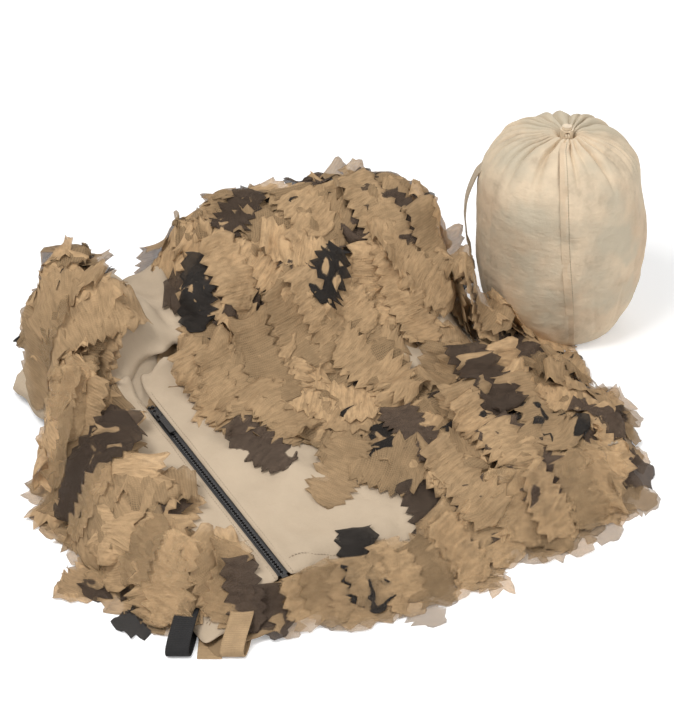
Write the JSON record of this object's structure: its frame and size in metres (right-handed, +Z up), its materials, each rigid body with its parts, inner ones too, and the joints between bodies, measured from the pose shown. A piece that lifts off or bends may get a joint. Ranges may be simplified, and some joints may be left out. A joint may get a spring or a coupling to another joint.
{
  "type": "ghillie suit",
  "caption": "Leaf-strip ghillie suit, hooded jacket and trousers folded into a heap with a closed front zip, beside its full drawstring stuff sack.",
  "frame": {"origin": "on the ground, at the middle of the outline of the heap and the sack", "axes": "+Z up; -Y towards the jacket's hem and the viewer; +X towards the sack"},
  "size_m": [0.764, 0.7554, 0.2743],
  "materials": {
    "cream_cloth": "plain woven polyester, matte",
    "tan_mesh": "crinkled sheer mesh, matte",
    "brown_mesh": "crinkled sheer mesh, matte",
    "black_mesh": "crinkled sheer mesh, matte",
    "elastic": "ribbed knit elastic",
    "zip_tape": "woven zip tape, matte",
    "zip_coil": "moulded nylon coil",
    "zip_metal": "black enamel, satin",
    "tan_webbing": "woven webbing, slight sheen",
    "black_webbing": "woven webbing, slight sheen",
    "sack_cloth": "thin woven polyester, matte",
    "sack_filling": "packed garment, matte",
    "drawcord": "braided cord",
    "lock_plastic": "moulded plastic, satin",
    "spring_steel": "bright wire"
  },
  "bodies": {
    "suit": {"jacket_back_panel": "cream_cloth", "jacket_front_left_panel": "cream_cloth", "jacket_front_right_panel": "cream_cloth", "jacket_shoulders": "cream_cloth", "jacket_hood": "cream_cloth", "jacket_sleeve_left": "tan_mesh", "jacket_sleeve_right": "tan_mesh", "jacket_cuff_left": "elastic", "jacket_cuff_right": "elastic", "jacket_hem_left": "cream_cloth", "jacket_hem_right": "cream_cloth", "zip_tape_left": "zip_tape", "zip_tape_right": "zip_tape", "zip_chain_left": "zip_coil", "zip_chain_right": "zip_coil", "zip_bottom_stop": "zip_metal", "zip_top_stops": "zip_metal", "trousers_leg_left": "tan_mesh", "trousers_leg_right": "tan_mesh", "trousers_seat": "cream_cloth", "trousers_waistband": "cream_cloth", "trousers_waist_elastic": "elastic", "webbing_loop_tan": "tan_webbing", "webbing_loop_black": "black_webbing", "webbing_tail": "tan_webbing", "fringe_front": "tan_mesh", "fringe_side": "tan_mesh", "fringe_sleeve": "tan_mesh", "front_strips_tan": "tan_mesh", "front_strips_brown": "brown_mesh", "front_strips_black": "black_mesh", "flap_strips_tan": "tan_mesh", "flap_strips_brown": "brown_mesh", "rear_strips_tan": "tan_mesh", "rear_strips_brown": "brown_mesh", "rear_strips_black": "black_mesh", "sleeve_strips_tan": "tan_mesh", "sleeve_strips_brown": "brown_mesh", "hood_strips_tan": "tan_mesh"},
    "zip_slider": {"zip_slider": "zip_metal"},
    "zip_pull": {"zip_pull": "zip_metal"},
    "sack": {"sack_wall": "sack_cloth", "sack_base": "sack_cloth", "sack_filling": "sack_filling", "sack_cord_channel": "sack_cloth", "sack_drawcord": "drawcord", "sack_seam_tape": "sack_cloth", "sack_carry_strap": "sack_cloth", "cord_lock_barrel": "lock_plastic", "cord_lock_spring": "spring_steel"},
    "cord_lock_button": {"cord_lock_button": "lock_plastic"}
  },
  "joints": [
    {"name": "zip_slide", "type": "slide", "parent": "suit", "child": "zip_slider", "axis": [0.5248, -0.8398, -0.1392], "range_m": [0, 0.264]},
    {"name": "zip_pull_swing", "type": "hinge", "parent": "zip_slider", "child": "zip_pull", "pos_m": [-0.2004, -0.06645, 0.08333], "axis": [0.848, 0.5299, 0], "range_deg": [-170, 0]},
    {"name": "sack_lift", "type": "slide", "parent": "suit", "child": "sack", "axis": [0, 0, 1], "range_m": [0, 0.35]},
    {"name": "cord_lock_press", "type": "slide", "parent": "sack", "child": "cord_lock_button", "axis": [0, 0, -1], "range_m": [0, 0.0035], "stiffness_N_per_m": 400, "springref_m": -0.001, "deforming": ["cord_lock_spring"]}
  ]
}
